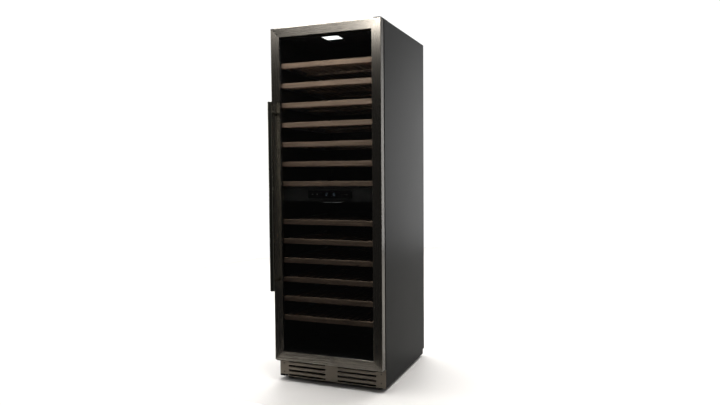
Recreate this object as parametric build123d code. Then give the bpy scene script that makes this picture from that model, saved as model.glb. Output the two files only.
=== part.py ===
from build123d import *
import os

# Tall dual-zone wine cooler with a framed glass door, in millimetres.
# +Z is up and the door faces -Y. The origin is on the floor, under the middle of the footprint.

# ---------------------------------------------------------------- driving dimensions
case_width = 595            # cabinet, over the side panels
case_height = 1810          # floor to the cabinet's top
case_depth = 650            # cabinet alone, without the door
floor_gap = 14              # clear height under the cabinet
sheet = 1.2                 # steel sheet
flange = 26                 # front flange of the side panels
clearance = 0.3             # between neighbouring pieces that must not touch

door_width = 594
door_bottom = 113.5
door_top = 1806
door_depth = 50             # door face to cabinet front, gasket included
frame_face = 47             # visible width of the door frame's members
frame_sheet = 1.5
bend_radius = 1.2           # outer bends of the door frame's sheet
frame_return = 38           # depth of the stainless return round the door
ring_back = 40              # depth of the plastic ring that holds glass and gasket
mitre_gap = 0.15

glass_inset = 29            # door edge to glass edge
glass_front = 5             # depth of the outer pane's face
pane = 4
glass_space = 16
spacer_width = 14

gasket_inset = 14           # door edge to gasket edge
gasket_width = 14.5

handle_reach = 55           # bar's axis in front of the door face
handle_radius = 12.5
handle_bore = 10.5
plug_cap = 3
handle_low = 482
handle_high = 1434
post_radius = 10
post_inset = 53             # bar end to post axis

hinge_x = 284
hinge_depth = 22            # hinge axis behind the door face
pin_radius = 4.95
bush_bore = 5.0
bush_radius = 8
bush_length = 18
bracket_thickness = 3
bracket_x = (256, 295)      # hinge plates
bracket_rise = 17           # leg of the lower plates against the cabinet
rest_x = (-295, -240)       # rest plate under the free corner

liner_half = 269            # half the inner width
liner_sheet = 1.5
liner_back = 590            # inner back wall, behind the cabinet front
floor_z = 150               # inner floor
ceiling_z = 1762
step_depth = 366            # start of the raised floor over the compressor
step_z = 298
foam_bottom = 112
compressor_bay_depth = 396  # start of the compressor bay, behind the cabinet front
compressor_bay_top = 266

divider_low = 935
divider_high = 1005
divider_skin = 2

shelf_half = 266
shelf_height = 26
shelf_length = 505
shelf_tops = [1637 - 100 * row for row in range(7)] + [840 - 100 * row for row in range(6)]
fascia_depth = 20
slat_count = 12
slat_pitch = 41
slat_width = 22
slat_height = 10
slat_drop = 4               # slat top below fascia top
batten_half = 248
batten_width = 26
runner_width = 8
runner_height = 22
runner_sheet = 1.5

duct_half = 225
duct_depth = 531            # duct cover's face, behind the cabinet front
duct_skin = 2

foot_radius = 18
foot_height = 8
stem_radius = 5
foot_x = 250
foot_insets = (36, 606)     # feet behind the cabinet front

plinth_top = 108
louvre_half = 68 / 2        # half of the solid part between the louvre groups
louvre_end = 245
louvre_low = 19
louvre_high = 99
louvre_count = 3
louvre_height = 18
louvre_depth = 7

lamp_reach = 42             # half of the lamp's width
lamp_depth = 34             # half of its depth
lamp_inset = 54             # its middle, behind the cabinet front

compressor_x = -140
compressor_inset = 540      # its axis, behind the cabinet front
compressor_radius = 62
compressor_height = 190
compressor_lift = 14        # height of the rubber mounts
seam_rise = 80              # pipe stubs above the mounting plate
stub_reach = 70
tray_height = 32

condenser_x = -6            # first fin
condenser_inset = 530
condenser_fins = 32
fin_pitch = 8
condenser_low = 30
condenser_high = 180
pipe_radius = 4.5
pipe_end = 9                # pipes stand out beyond the end fins
pipe_rows = 4
pipe_rise = 18              # first row above the fins' lower edge
pipe_pitch = 38
riser_reach = 114           # compressor axis to the rising pipes
discharge_z = 240           # discharge line over the condenser
drier_x = 255
drier_low = 90
drier_length = 90

condenser_fan_x = 118       # over the middle of the condenser
fan_size = 120
fan_bore = 56
fan_thickness = 25
fan_blades = 7
fan_hub = 19
shaft_radius = 2
shaft_bore = 2.04

button_names = ["power_button", "light_button", "warmer_button", "cooler_button"]
button_size = 13
button_height = 8
button_proud = 1.6
panel_half = 120
panel_low = 950
panel_high = 990
panel_depth = 7
window_half = 42
window_margin = 8

socket_x = (180, 208)       # mains inlet in the rear grille
socket_z = (60, 84)

screw_head = 4
screw_head_height = 1.6
screw_shank = 2
recess_width = 1.2

# ---------------------------------------------------------------- derived places
half_width = case_width / 2
inner_half = half_width - sheet
total_depth = case_depth + door_depth + handle_reach + handle_radius + screw_head_height
rear_y = total_depth / 2 - screw_head_height
front_y = rear_y - case_depth
face_y = front_y - door_depth
handle_x = -(door_width - frame_face) / 2
handle_y = face_y - handle_reach
hinge_y = face_y + hinge_depth
bracket_low = plinth_top + 0.6
bracket_top = case_height + bracket_thickness
back_inner = rear_y - sheet
liner_y = front_y + liner_back
step_y = front_y + step_depth
bay_y = front_y + compressor_bay_depth
duct_y = front_y + duct_depth
glass_back = glass_front + 2 * pane + glass_space
divider_front = front_y + 10
lamp_y = front_y + lamp_inset
pan_top = floor_gap + sheet
compressor_y = front_y + compressor_inset
compressor_low = pan_top + compressor_lift
compressor_top = compressor_low + bracket_thickness + compressor_height
seam_z = compressor_low + seam_rise
condenser_y = front_y + condenser_inset


# ---------------------------------------------------------------- helpers
def slab(x, y, z):
    """Box between two limits on each axis."""
    spans = (x, y, z)
    centre = [(low + high) / 2 for low, high in spans]
    return Pos(*centre) * Box(*[high - low for low, high in spans])


def rod(start, direction, radius, length):
    """Round bar from a point along a direction."""
    flat = (Align.CENTER, Align.CENTER, Align.MIN)
    return Plane(origin=start, z_dir=direction) * Cylinder(radius, length, align=flat)


def tube(points, radius, bend):
    """Round pipe along straight runs joined by bends of one radius."""
    path = FilletPolyline(*points, radius=bend)
    return sweep(Plane(origin=path @ 0, z_dir=path % 0) * Circle(radius), path)


def save(name, *shapes):
    """Write one node; each of its solids stays separate."""
    solids = [solid for shape in shapes for solid in shape.solids()]
    node = solids[0] if len(solids) == 1 else Compound(children=solids)
    export_step(node, f"parts/{name}.step")


def door_ring(outer, inner, near, far):
    """Rectangular ring set in from the door's outline, between two depths behind its face."""
    def block(inset):
        reach = door_width / 2 - inset
        return slab((-reach, reach), (face_y + near, face_y + far), (door_bottom + inset, door_top - inset))
    return block(outer) - block(inner)


def mitred(ring):
    """The four members of a door ring, cut at 45 degrees at the corners."""
    half = door_width / 2
    corners = [(-half, door_bottom), (half, door_bottom), (half, door_top), (-half, door_top)]
    ends = [(0, door_bottom + half), (0, door_top - half)]
    outlines = {
        (-mitre_gap, 0): [corners[0], ends[0], ends[1], corners[3]],
        (mitre_gap, 0): [corners[1], corners[2], ends[1], ends[0]],
        (0, -mitre_gap): [corners[0], corners[1], ends[0]],
        (0, mitre_gap): [corners[2], corners[3], ends[1]],
    }
    members = []
    for (shift_x, shift_z), outline in outlines.items():
        wedge = extrude(Plane.XZ * Polygon(*outline, align=None), amount=total_depth, both=True)
        members.append(ring & (Pos(shift_x, 0, shift_z) * wedge))
    return members


def screw(seat, direction):
    """Pan-head screw; the head stands on the seat and the shank fills the sheet behind it."""
    head = rod(seat, direction, screw_head, screw_head_height)
    plane = Plane(origin=seat, z_dir=direction)
    slot = Pos(0, 0, screw_head_height) * Box(screw_head * 1.2, recess_width, screw_head_height)
    head -= [plane * slot, plane * Rot(0, 0, 90) * slot]
    return head + rod(seat, opposite(direction), screw_shank, sheet)


def opposite(direction):
    return tuple(-value for value in direction)


def drilled(panel, seats, direction):
    """A sheet with a clearance hole under each screw."""
    return panel - [
        rod(seat, side, screw_shank + 0.1, 2 * bracket_thickness)
        for seat in seats
        for side in (direction, opposite(direction))
    ]


# ---------------------------------------------------------------- screw places
back_screws = [
    (x, rear_y, z) for z in (300, 780, 1260, 1780) for x in (-inner_half + 12, inner_half - 12)
] + [(x, rear_y, 1780) for x in (-100, 100)]
grille_screws = [(x, rear_y, z) for z in (34, 240) for x in (-255, 0, 255)]
plinth_screws = [(x, front_y - frame_sheet, z) for z in (38, 84) for x in (-272, 272)]
top_hinge_screws = [(x, front_y + depth, bracket_top) for x, depth in ((266, 18), (284, 18), (275, 48))]
low_hinge_screws = [(x, front_y - bracket_thickness, plinth_top + 12) for x in (266, 286)]
rest_screws = [(-x, y, z) for x, y, z in low_hinge_screws]
back, front, up = (0, 1, 0), (0, -1, 0), (0, 0, 1)


# ---------------------------------------------------------------- cabinet shell
def side_panel(side):
    """Painted sheet with a flange turned in at the front and the rear."""
    outer, skin = side * half_width, side * inner_half
    height = (floor_gap, case_height)

    def across(reach):
        return tuple(sorted((outer, side * (half_width - reach))))

    panel = slab(tuple(sorted((outer, skin))), (front_y, rear_y), height)
    panel += slab(across(flange), (front_y, front_y + sheet), height)
    panel += slab(across(flange / 2), (back_inner - sheet, back_inner), height)
    corner_cut = slab(across(flange), (rear_y - flange, rear_y), (floor_gap, floor_gap + flange))
    seats = plinth_screws + (low_hinge_screws if side > 0 else rest_screws)
    return drilled(panel - corner_cut, seats, front)


def top_panel():
    """Lid sheet, turned down at the front between the side panels."""
    reach = inner_half - clearance
    lid = slab((-reach, reach), (front_y, back_inner - sheet), (case_height - sheet, case_height))
    lip_reach = half_width - flange - clearance
    lip = slab((-lip_reach, lip_reach), (front_y, front_y + sheet), (ceiling_z + 3, case_height))
    corner_y = (front_y, front_y + sheet + clearance)
    corner = slab((lip_reach, reach), corner_y, (case_height - sheet, case_height))
    corners = [corner, mirror(corner, about=Plane.YZ)]
    return drilled(lid + lip - corners, top_hinge_screws, up)


def back_panel():
    reach = inner_half - clearance
    z = (compressor_bay_top, case_height - sheet - clearance)
    return drilled(slab((-reach, reach), (back_inner, rear_y), z), back_screws, back)


def base_pan():
    """Floor sheet, stepped up at the rear, with a sill over the plinth and a nut over each foot."""
    reach = inner_half - clearance
    step = rear_y - flange
    x = (-reach, reach)
    pan = slab(x, (front_y + 2 * sheet, step), (floor_gap, pan_top))
    pan += slab(x, (step - sheet, step), (floor_gap, floor_gap + flange))
    pan += slab(x, (step - sheet, back_inner), (floor_gap + flange - sheet, floor_gap + flange))
    nuts = []
    for x, y in foot_places():
        pan -= rod((x, y, 0), up, stem_radius + 0.5, 2 * floor_gap)
        nut = Pos(x, y, pan_top) * extrude(RegularPolygon(9, 6), amount=12)
        nuts.append(nut - rod((x, y, 0), up, stem_radius + 0.05, 60))
    sill_reach = half_width - flange - clearance
    sill = slab((-sill_reach, sill_reach), (front_y, front_y + sheet), (foam_bottom, floor_z - liner_sheet))
    return [pan, sill] + nuts


def foot_places():
    return [(x, front_y + inset) for inset in foot_insets for x in (-foot_x, foot_x)]


def levelling_foot(x, y):
    """Pad and collar with a threaded stem that runs up through the nut."""
    pad = rod((x, y, 0), up, foot_radius, foot_height)
    pad = chamfer(pad.edges().group_by(Axis.Z)[-1], 2)
    collar = rod((x, y, foot_height), up, stem_radius + 2, 3)
    return pad + collar + rod((x, y, foot_height), up, stem_radius, 34)


def foam_insulation():
    """Foam between the outer sheets and the inner walls, one block for each side."""
    near = front_y + sheet + clearance
    far = back_inner - 2 * sheet - clearance
    low, high = foam_bottom, case_height - sheet - clearance
    wall = liner_half + liner_sheet
    side = Plane.YZ * Polygon(
        (near, low), (bay_y, low), (bay_y, compressor_bay_top),
        (far, compressor_bay_top), (far, high), (near, high),
        align=None,
    )
    side = Pos(wall, 0, 0) * extrude(side, amount=inner_half - clearance - wall)
    behind = liner_y + liner_sheet
    under = floor_z - liner_sheet
    shelf_low = step_z - liner_sheet
    return [
        side,
        mirror(side, about=Plane.YZ),
        slab((-wall, wall), (near, behind), (ceiling_z + liner_sheet, high)),
        slab((-wall, wall), (behind, far), (compressor_bay_top, high)),
        slab((-wall, wall), (near, bay_y), (low, under)),
        slab((-wall, wall), (step_y + liner_sheet, bay_y), (under, shelf_low)),
        slab((-wall, wall), (bay_y, behind), (compressor_bay_top, shelf_low)),
        divider_block(divider_skin + clearance),
    ]


def liner_walls(low, high, side_low):
    """Both side walls of one zone."""
    side = slab((liner_half, liner_half + liner_sheet), (front_y + clearance, liner_y), (side_low, high))
    return [side, mirror(side, about=Plane.YZ)]


def upper_liner():
    reach = liner_half + liner_sheet
    near = front_y + sheet + clearance
    ceiling = slab((-reach, reach), (near, liner_y), (ceiling_z, ceiling_z + liner_sheet))
    rear = slab((-reach, reach), (liner_y, liner_y + liner_sheet), (divider_high, ceiling_z + liner_sheet))
    return liner_walls(divider_high, ceiling_z, divider_high) + [ceiling, rear]


def lower_liner():
    """The lower zone's walls, with a step over the compressor."""
    reach = liner_half + liner_sheet
    under = floor_z - liner_sheet
    floor = slab((-reach, reach), (front_y + sheet + clearance, step_y + liner_sheet), (under, floor_z))
    riser = slab((-liner_half, liner_half), (step_y, step_y + liner_sheet), (floor_z, step_z))
    step = slab((-liner_half, liner_half), (step_y + liner_sheet, liner_y), (step_z - liner_sheet, step_z))
    rear = slab((-reach, reach), (liner_y, liner_y + liner_sheet), (step_z - liner_sheet, divider_low))
    near, behind, step_under = front_y + clearance, step_y + liner_sheet, step_z - liner_sheet
    side = Plane.YZ * Polygon(
        (near, floor_z), (behind, floor_z), (behind, step_under),
        (liner_y, step_under), (liner_y, divider_low), (near, divider_low),
        align=None,
    )
    side = Pos(liner_half, 0, 0) * extrude(side, amount=liner_sheet)
    return [floor, riser, step, rear, side, mirror(side, about=Plane.YZ)]


def divider_block(inset):
    reach = liner_half + liner_sheet - inset
    y = (divider_front + inset, liner_y + liner_sheet - inset)
    return slab((-reach, reach), y, (divider_low + inset, divider_high - inset))


def zone_divider():
    """Insulated shelf between the zones: an upper and a lower moulding that close round the foam."""
    shell = divider_block(0) - divider_block(divider_skin)
    middle = Plane.XY.offset((divider_low + divider_high) / 2)
    return [shell.split(middle, keep=Keep.TOP), shell.split(middle, keep=Keep.BOTTOM)]


# ---------------------------------------------------------------- inside fittings
def duct_zones():
    """Lower and upper limits of the two duct covers."""
    return [(divider_high + 12, ceiling_z - 8), (step_z + 6, divider_low - 12)]


def fan_centres():
    """The circulation fans blow forwards through the duct covers."""
    behind = duct_depth + duct_skin + 2 + fan_thickness / 2
    return [(0, front_y + behind, high - 120) for low, high in duct_zones()]


def condenser_fan_centre():
    return (condenser_fan_x, condenser_y - 30, pan_top + 4 + fan_size / 2)


def duct_covers():
    """Moulded covers over the evaporators, slotted in front of the fan and near the bottom."""
    covers = []
    for (low, high), (fan_x, _, fan_z) in zip(duct_zones(), fan_centres()):
        cover = slab((-duct_half, duct_half), (duct_y, liner_y - clearance), (low, high))
        cover -= slab(
            (-duct_half + duct_skin, duct_half - duct_skin),
            (duct_y + duct_skin, liner_y),
            (low + duct_skin, high - duct_skin),
        )
        slots = []
        for row in range(-3, 4):
            reach = (fan_bore ** 2 - (15 * row) ** 2) ** 0.5 - 6
            slots.append(Pos(fan_x, duct_y, fan_z + 15 * row) * Box(2 * reach, 4 * duct_skin, 7))
        for row in range(4):
            slots.append(Pos(0, duct_y, low + 30 + 14 * row) * Box(300, 4 * duct_skin, 6))
        covers.append(cover - slots)
    return covers


def evaporators():
    """Finned coil behind each duct cover."""
    coils = []
    for low, high in duct_zones():
        middle = duct_y + 26
        fins = [
            slab((x, x + 1), (middle - 14, middle + 14), (low + 130, low + 230))
            for x in range(-170, 171, 20)
        ]
        rows = [rod((-180, middle, low + 145 + 23 * row), (1, 0, 0), 4.5, 361) for row in range(4)]
        coils.append(fins[0].fuse(*fins[1:], *rows))
    return coils


def fan_frame(centre):
    """Square fan housing with a spider, a motor and its shaft; the air goes towards -Y."""
    frame = Box(fan_size, fan_size, fan_thickness) - Cylinder(fan_bore, fan_thickness)
    holes = GridLocations(fan_size - 15, fan_size - 15, 2, 2) * Cylinder(2.2, fan_thickness)
    frame -= holes
    base = Pos(0, 0, -fan_thickness / 2 + 1.5)
    for turn in (0, 60, 120):
        frame += base * Rot(0, 0, turn) * Box(2 * fan_bore + 2, 5, 3)
    frame += base * Cylinder(fan_hub, 3)
    frame += Pos(0, 0, -2) * Cylinder(shaft_radius, fan_thickness - 7)
    return Plane(origin=centre, z_dir=front) * frame


def fan_rotor(centre):
    """Hub with pitched blades, running on the motor's shaft."""
    hub = Pos(0, 0, 2) * Cylinder(fan_hub, fan_thickness - 9)
    hub = fillet(hub.edges().group_by(Axis.Z)[-1], 3)
    root = Plane(origin=(fan_hub - 2, 0, 2), z_dir=(1, 0, 0)) * Rot(0, 0, 52) * Rectangle(17, 1.8)
    tip = Plane(origin=(fan_bore - 2, 0, 2), z_dir=(1, 0, 0)) * Rot(0, 0, 62) * Rectangle(24, 1.4)
    blade = loft([root.face(), tip.face()])
    blades = [Rot(0, 0, 360 / fan_blades * index) * blade for index in range(fan_blades)]
    rotor = hub.fuse(*blades) - Pos(0, 0, -2) * Cylinder(shaft_bore, fan_thickness - 4)
    return Plane(origin=centre, z_dir=front) * rotor


def lamp_places():
    """The ceiling lamp of each zone, a little behind the door."""
    return [ceiling_z, divider_low]


def lamp_block(margin, low, high):
    across, along = lamp_reach + margin, lamp_depth + margin
    return slab((-across, across), (lamp_y - along, lamp_y + along), (low, high))


def lamp_housings():
    return [lamp_block(4, top - 5, top) - lamp_block(0, top - 5, top - 1) for top in lamp_places()]


def lamp_lenses():
    lenses = [lamp_block(-clearance, top - 6, top - 1) for top in lamp_places()]
    return [fillet(lens.edges().group_by(Axis.Z)[0], 0.8) for lens in lenses]


def button_places():
    """Two buttons at each end of the control panel."""
    return [(side * offset, (panel_low + panel_high) / 2) for side in (-1, 1) for offset in (68, 94)]


def control_panel():
    """Bezel with a dark display window, carried on the zone divider's front."""
    front_face = divider_front - panel_depth
    bezel = slab((-panel_half, panel_half), (front_face, divider_front), (panel_low, panel_high))
    bezel = fillet(bezel.edges().filter_by(Axis.Y), 4)
    opening = Box(button_size + 2 * clearance, 4 * panel_depth, button_height + 2 * clearance)
    bezel -= [Pos(x, divider_front, z) * opening for x, z in button_places()]
    window = (panel_low + window_margin, panel_high - window_margin)
    display = slab((-window_half, window_half), (front_face, front_face + 2), window)
    return [bezel - display, display]


def control_button(x, z):
    cap = slab(
        (x - button_size / 2, x + button_size / 2),
        (divider_front - panel_depth - button_proud, divider_front - 1.5),
        (z - button_height / 2, z + button_height / 2),
    )
    return fillet(cap.edges().group_by(Axis.Y)[0], 0.8)


# ---------------------------------------------------------------- cooling machine
def compressor():
    """Welded steel shell on its mounting plate, with the terminal box and two pipe stubs."""
    place = Pos(compressor_x, compressor_y, 0)
    plate = place * slab((-95, 95), (-62, 62), (compressor_low, compressor_low + bracket_thickness))
    plate = fillet(plate.edges().filter_by(Axis.Z), 10)
    plate -= [rod((x, y, compressor_low - 1), up, 6, 6) for x, y in mount_places()]
    foot = (compressor_x, compressor_y, compressor_low + bracket_thickness)
    shell = rod(foot, up, compressor_radius - 1, compressor_height)
    shell = fillet(shell.edges().filter_by(GeomType.CIRCLE), 30)
    seam = rod((compressor_x, compressor_y, seam_z + 25), up, compressor_radius + 4, 6)
    box = place * slab((-24, 24), (-compressor_radius - 12, -50), (seam_z - 20, seam_z + 40))
    stubs = [rod((compressor_x, y, seam_z), (1, 0, 0), radius, stub_reach)
             for y, radius in ((compressor_y, pipe_radius), (compressor_y + 30, pipe_radius + 1))]
    return plate.fuse(shell, seam, box, *stubs)


def mount_places():
    return [(compressor_x + x, compressor_y + y) for x in (-80, 80) for y in (-48, 48)]


def compressor_mounts():
    """Rubber grommets that carry the compressor's plate."""
    return [
        rod((x, y, pan_top), up, 11, compressor_lift) + rod((x, y, compressor_low), up, 5.8, 6)
        for x, y in mount_places()
    ]


def condenser_coil():
    """Finned block behind the compressor bay's fan."""
    fins = [
        slab((x, x + 1), (condenser_y, condenser_y + 80), (condenser_low, condenser_high))
        for x in range(condenser_x, condenser_x + condenser_fins * fin_pitch, fin_pitch)
    ]
    pipes = [
        rod((condenser_x - pipe_end, condenser_y + 10 + 40 * column, pipe_z(row)), (1, 0, 0), pipe_radius,
            condenser_reach() - condenser_x + pipe_end)
        for row in range(pipe_rows)
        for column in range(2)
    ]
    return fins[0].fuse(*fins[1:], *pipes)


def condenser_reach():
    """Right-hand end of the condenser's pipes."""
    return condenser_x + (condenser_fins - 1) * fin_pitch + 1 + pipe_end


def pipe_z(row):
    return condenser_low + pipe_rise + pipe_pitch * row


def drip_tray():
    """Open tray on top of the compressor, where melt water evaporates."""
    def block(margin, low):
        across, along = 100 - margin, 74 - margin
        x, y = (compressor_x - across, compressor_x + across), (compressor_y - along, compressor_y + along)
        return slab(x, y, (low, compressor_top + tray_height))
    return block(0, compressor_top) - block(2, compressor_top + 2)


def refrigerant_pipes():
    """Discharge and suction lines, the filter drier and its capillary."""
    start, riser = compressor_x + stub_reach, compressor_x + riser_reach
    end, outlet = condenser_reach(), pipe_z(pipe_rows - 1)
    loop = end + 20
    discharge = tube(
        [
            (start, compressor_y, seam_z), (riser, compressor_y, seam_z),
            (riser, compressor_y, discharge_z), (loop, compressor_y, discharge_z),
            (loop, compressor_y, outlet), (end, compressor_y, outlet),
        ],
        3, 12,
    )
    line_y = compressor_y + 30
    suction = tube(
        [(start, line_y, seam_z), (riser, line_y, seam_z), (riser, line_y, compressor_bay_top)], 4, 12,
    )
    drier_y = condenser_y - 60
    drier = rod((drier_x, drier_y, drier_low), up, 10, drier_length)
    drier = chamfer(drier.edges().filter_by(GeomType.CIRCLE), 5)
    drier_top = drier_low + drier_length
    capillary = rod((drier_x, drier_y, drier_top), up, 1.5, compressor_bay_top - drier_top)
    return [discharge, suction, drier, capillary]


def power_inlet():
    """Mains inlet socket in the corner of the rear grille."""
    x, z = socket_x, socket_z
    body = slab(x, (rear_y - 28, rear_y), z)
    body -= slab((x[0] + 3, x[1] - 3), (rear_y - 22, rear_y), (z[0] + 3, z[1] - 3))
    middle = (x[0] + x[1]) / 2, (z[0] + z[1]) / 2
    pins = [
        Pos(middle[0] + offset, rear_y - 14, middle[1] + rise) * Box(2, 16, 4)
        for offset, rise in ((-7, -2), (7, -2), (0, 3))
    ]
    return [body] + pins


def rear_grille():
    """Slotted cover of the compressor bay."""
    reach = inner_half - clearance
    z = (floor_gap + flange + clearance, compressor_bay_top - clearance)
    cover = slab((-reach, reach), (back_inner, rear_y), z)
    slots = [
        Pos(-222 + 12 * column, rear_y, 100 + 90 * row) * Box(5, 4 * sheet, 60)
        for row in range(2)
        for column in range(38)
        if row or not 31 < column < 38
    ]
    socket = slab(
        (socket_x[0] - clearance, socket_x[1] + clearance),
        (back_inner - 1, rear_y + 1),
        (socket_z[0] - clearance, socket_z[1] + clearance),
    )
    return drilled(cover - slots - socket, grille_screws, back)


# ---------------------------------------------------------------- front fittings
def plinth_grille():
    """Stainless plinth with two groups of louvres, notched at its lower left corner."""
    reach = half_width - 1
    near, far = front_y - frame_sheet, front_y
    plate = slab((-reach, reach), (near, far), (floor_gap, plinth_top))
    plate -= slab((-reach, -louvre_end - 5), (near, far), (floor_gap, floor_gap + 11))
    blades = []
    for side in (-1, 1):
        x = tuple(sorted((side * louvre_half, side * louvre_end)))
        plate -= slab(x, (near, far), (louvre_low, louvre_high))
        slot = (louvre_high - louvre_low - louvre_count * louvre_height) / (louvre_count + 1)
        for row in range(louvre_count):
            low = louvre_low + slot + row * (louvre_height + slot)
            blade = slab(x, (near, near + louvre_depth), (low, low + louvre_height))
            blades.append(fillet(blade.edges().filter_by(Axis.X).group_by(Axis.Y)[0], 3))
    lip = slab((-270, 270), (far, far + 14), (plinth_top - frame_sheet, plinth_top))
    return [drilled(plate + lip, plinth_screws, front)] + blades


def corner_plate(x, near):
    """Flat plate under the door with a leg up against the cabinet."""
    plate = slab(x, (near, front_y), (bracket_low, bracket_low + bracket_thickness))
    plate = fillet(plate.edges().filter_by(Axis.Z).group_by(Axis.Y)[0], 5)
    return plate + slab(x, (front_y - bracket_thickness, front_y), (bracket_low, bracket_low + bracket_rise))


def hinge_brackets():
    """Top and bottom hinge plates, each with the pin the door turns on."""
    top = slab(bracket_x, (face_y + 8, front_y + 62), (case_height, bracket_top))
    top = fillet(top.edges().filter_by(Axis.Z), 5)
    top = drilled(top, top_hinge_screws, up)
    top += rod((hinge_x, hinge_y, case_height), (0, 0, -1), pin_radius, 20)
    low = corner_plate(bracket_x, face_y + 8)
    low = drilled(low, low_hinge_screws, front)
    low += rod((hinge_x, hinge_y, bracket_low), up, pin_radius, 22)
    return [top, low]


def door_rest_plate():
    """Plate under the door's free corner, with a pad that carries it when it is shut."""
    plate = corner_plate(rest_x, face_y + 6)
    pad_x = (rest_x[0] + 10, rest_x[1] - 10)
    pad = slab(pad_x, (face_y + 10, face_y + 34), (bracket_low + bracket_thickness, door_bottom - clearance))
    return [drilled(plate, rest_screws, front), pad]


def shelf_runners():
    """Channels on the inner walls that the shelves' rails slide in."""
    runners = []
    inner = liner_half - runner_width
    for top in shelf_tops:
        high = top - 2
        low = high - runner_height
        y = (front_y + fascia_depth + 3, duct_y - 8)
        channel = slab((inner, liner_half), y, (low, high))
        channel -= slab((inner, liner_half - runner_sheet), y, (low + runner_sheet, high - runner_sheet))
        runners += [channel, mirror(channel, about=Plane.YZ)]
    return runners


def shelf(top):
    """Sliding shelf: a wooden front, slats from front to back on battens, and a steel rail each side."""
    slat_y = (front_y + fascia_depth, front_y + shelf_length)
    front_piece = slab((-shelf_half, shelf_half), (front_y, slat_y[0]), (top - shelf_height, top))
    front_piece = fillet(front_piece.edges().filter_by(Axis.X).group_by(Axis.Y)[0], 2.5)
    slats = []
    slat_low = top - slat_drop - slat_height
    for index in range(slat_count):
        x = slat_pitch * (index - (slat_count - 1) / 2)
        left = x - slat_width / 2
        slats.append(slab((left, left + slat_width), slat_y, (slat_low, slat_low + slat_height)))
    slats = [fillet(slat.edges().filter_by(Axis.Y).group_by(Axis.Z)[-1], 2) for slat in slats]
    batten_z = (top - shelf_height + 2, slat_low)
    battens = [
        slab((-batten_half, batten_half), (front_y + start, front_y + start + batten_width), batten_z)
        for start in (fascia_depth + 26, shelf_length / 2, shelf_length - batten_width - 12)
    ]
    middle = top - 2 - runner_height / 2
    web = slab((batten_half, batten_half + 2), slat_y, (batten_z[0], middle + 6))
    tongue = slab((batten_half + 2, liner_half - runner_sheet - 1), slat_y, (middle - 4, middle + 4))
    rail = web + tongue
    return [front_piece] + slats + battens + [rail, mirror(rail, about=Plane.YZ)]


# ---------------------------------------------------------------- door
def door_frame():
    """Stainless frame: face, outer return and a short return against the glass."""
    frame = door_ring(0, frame_face, 0, frame_sheet)
    frame += door_ring(0, frame_sheet, 0, frame_return)
    frame += door_ring(frame_face - frame_sheet, frame_face, 0, glass_front)
    frame = fillet(frame.edges().group_by(Axis.Y)[0], bend_radius)
    return [drilled_for_hinge(member) for member in mitred(frame)]


def drilled_for_hinge(member):
    """Hinge bush holes from the door's top and bottom edges."""
    top = rod((hinge_x, hinge_y, door_top + 1), (0, 0, -1), bush_radius, bush_length + 1)
    low = rod((hinge_x, hinge_y, door_bottom - 1), up, bush_radius, bush_length + 1)
    return member - [top, low]


def door_inner_frame():
    """Plastic ring inside the stainless frame, and the flat strips the glass is bonded to."""
    ring = door_ring(frame_sheet, glass_inset - clearance, frame_sheet, ring_back)
    strip = door_ring(glass_inset, frame_face - frame_sheet - clearance, frame_sheet, glass_front)
    return [drilled_for_hinge(member) for member in mitred(ring)] + mitred(strip)


def glass_pane(near):
    reach = door_width / 2 - glass_inset
    z = (door_bottom + glass_inset, door_top - glass_inset)
    return slab((-reach, reach), (face_y + near, face_y + near + pane), z)


def glass_spacer():
    near = glass_front + pane
    return door_ring(glass_inset + 2, glass_inset + 2 + spacer_width, near, near + glass_space)


def door_gasket():
    """Magnetic gasket in four lengths: foot, bellows and magnet chamber."""
    inner = gasket_inset + gasket_width
    gasket = door_ring(gasket_inset, inner, ring_back, ring_back + 3)
    gasket += door_ring(gasket_inset + 4, inner - 4, ring_back + 2, ring_back + 6)
    gasket += door_ring(gasket_inset + 1.5, inner - 1.5, ring_back + 5, door_depth - 0.2)
    return mitred(gasket)


def handle_bar():
    """Round tube with a rounded plug in each end."""
    length = handle_high - handle_low
    tube_low, tube_length = handle_low + plug_cap, length - 2 * plug_cap
    bar = rod((handle_x, handle_y, tube_low), up, handle_radius, tube_length)
    bar -= rod((handle_x, handle_y, tube_low), up, handle_bore, tube_length)
    plugs = []
    for end, inward in ((handle_low, up), (handle_high, opposite(up))):
        cap = rod((handle_x, handle_y, end), inward, handle_radius, plug_cap)
        cap = fillet(cap.edges().filter_by(GeomType.CIRCLE).sort_by(Axis.Z)[0 if inward == up else -1], 1.5)
        plugs.append(cap + rod((handle_x, handle_y, end), inward, handle_bore, plug_cap + 12))
    return [bar] + plugs


def handle_posts():
    posts = []
    for z in (handle_low + post_inset, handle_high - post_inset):
        post = rod((handle_x, face_y, z), front, post_radius, handle_reach)
        post += rod((handle_x, face_y, z), front, post_radius + 3, 4)
        posts.append(post - rod((handle_x, handle_y, z - 30), up, handle_radius, 60))
    return [solid for post in posts for solid in post.solids()]


def hinge_bushes():
    """Sleeves in the door's top and bottom edges, and the washer the door rests on."""
    top = rod((hinge_x, hinge_y, door_top - bush_length), up, bush_radius, bush_length)
    low = rod((hinge_x, hinge_y, door_bottom), up, bush_radius, bush_length)
    washer_low = bracket_low + bracket_thickness
    washer = rod((hinge_x, hinge_y, washer_low + 0.1), up, bush_radius + 2, door_bottom - washer_low - 0.1)
    bore = rod((hinge_x, hinge_y, 0), up, bush_bore, case_height)
    return [top - bore, low - bore, washer - bore]


def case_screws():
    groups = [
        (back_screws, back), (grille_screws, back), (plinth_screws, front),
        (top_hinge_screws, up), (low_hinge_screws, front), (rest_screws, front),
    ]
    return [screw(seat, direction) for seats, direction in groups for seat in seats]


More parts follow.
